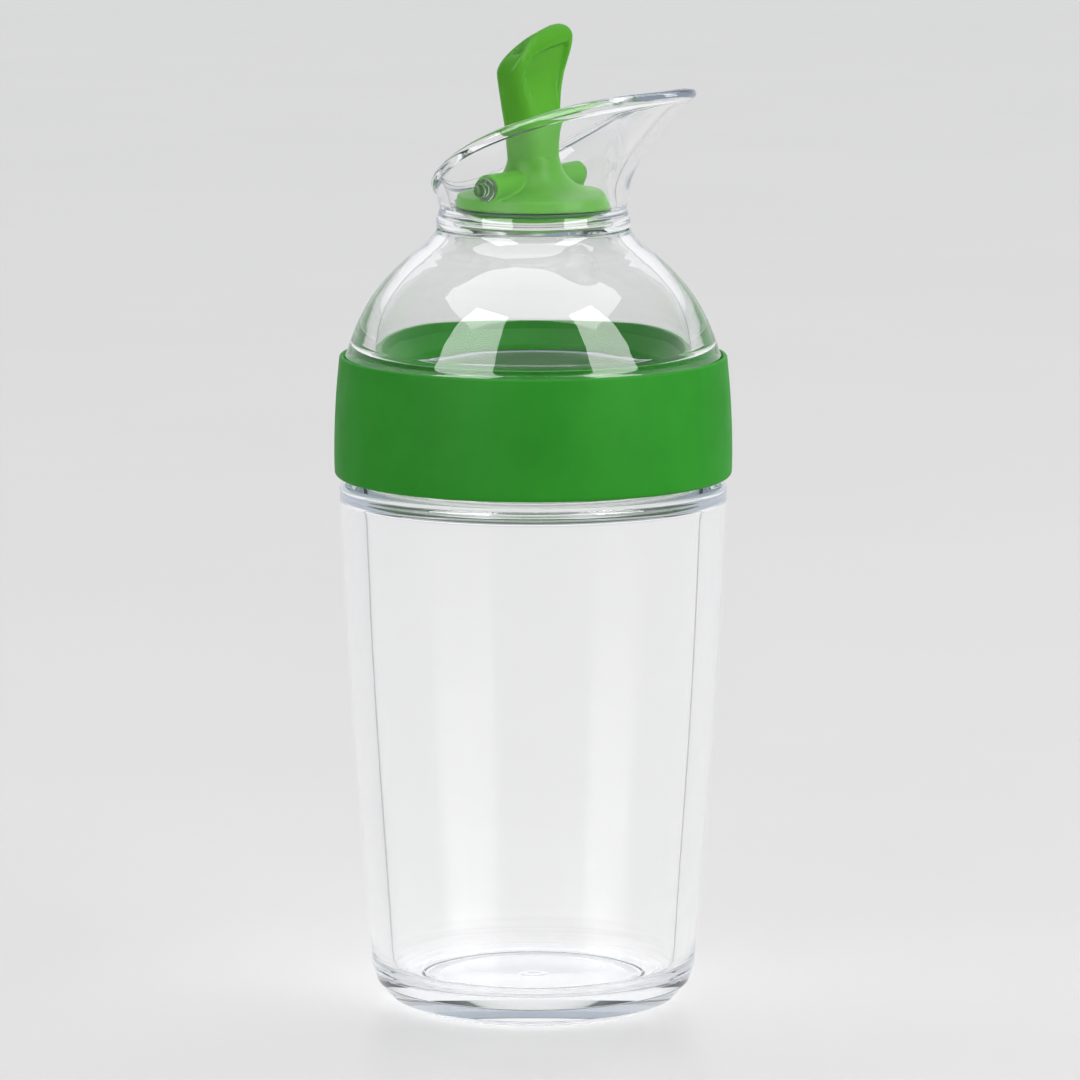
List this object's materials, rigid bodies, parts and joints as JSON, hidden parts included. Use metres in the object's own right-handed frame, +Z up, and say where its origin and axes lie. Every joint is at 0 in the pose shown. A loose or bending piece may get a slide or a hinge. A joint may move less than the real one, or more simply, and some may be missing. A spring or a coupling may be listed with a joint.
{
  "type": "salad dressing shaker",
  "caption": "Clear tumbler with a screw-on lid, soft grip band, clear dome and pouring lip, closed by a round sealed stopper on a tilting thumb lever",
  "frame": {"origin": "on the table, under the middle of the tumbler's base", "axes": "+Z up along the tumbler's axis, +X the way it pours, Y along the lever's pins"},
  "size_m": [0.086, 0.086, 0.2128],
  "materials": {
    "clear_body": "clear, polished",
    "clear_lid": "clear, polished",
    "green_soft": "soft-touch, satin",
    "green_hard": "moulded, semi-gloss",
    "green_lever": "moulded, semi-gloss",
    "stopper_seal": "smooth, satin",
    "lid_seal": "smooth, satin"
  },
  "bodies": {
    "tumbler": {"container": "clear_body"},
    "lid_seal": {"lid_gasket": "lid_seal"},
    "lid": {"thread_ring": "green_hard", "collar_grip": "green_soft", "dome": "clear_lid", "pour_spout": "clear_lid", "pivot_pin_left": "clear_lid", "pivot_pin_right": "clear_lid"},
    "stopper": {"lever": "green_lever", "stopper_gasket": "stopper_seal", "stopper_plug": "green_lever"}
  },
  "joints": [
    {"name": "lid_rise", "type": "slide", "parent": "tumbler", "child": "lid_seal", "axis": [0, 0, 1], "range_m": [0, 0.005]},
    {"name": "lid_unscrew", "type": "hinge", "parent": "lid_seal", "child": "lid", "pos_m": [0, 0, 0.1265], "axis": [0, 0, 1], "range_deg": [0, 225]},
    {"name": "lever_tilt", "type": "hinge", "parent": "lid", "child": "stopper", "pos_m": [0, 0, 0.1792], "axis": [0, -1, 0], "range_deg": [0, 70]}
  ],
  "couplings": [
    {"joint": "lid_rise", "follows": "lid_unscrew", "m_per_rad": 0.0012732}
  ]
}
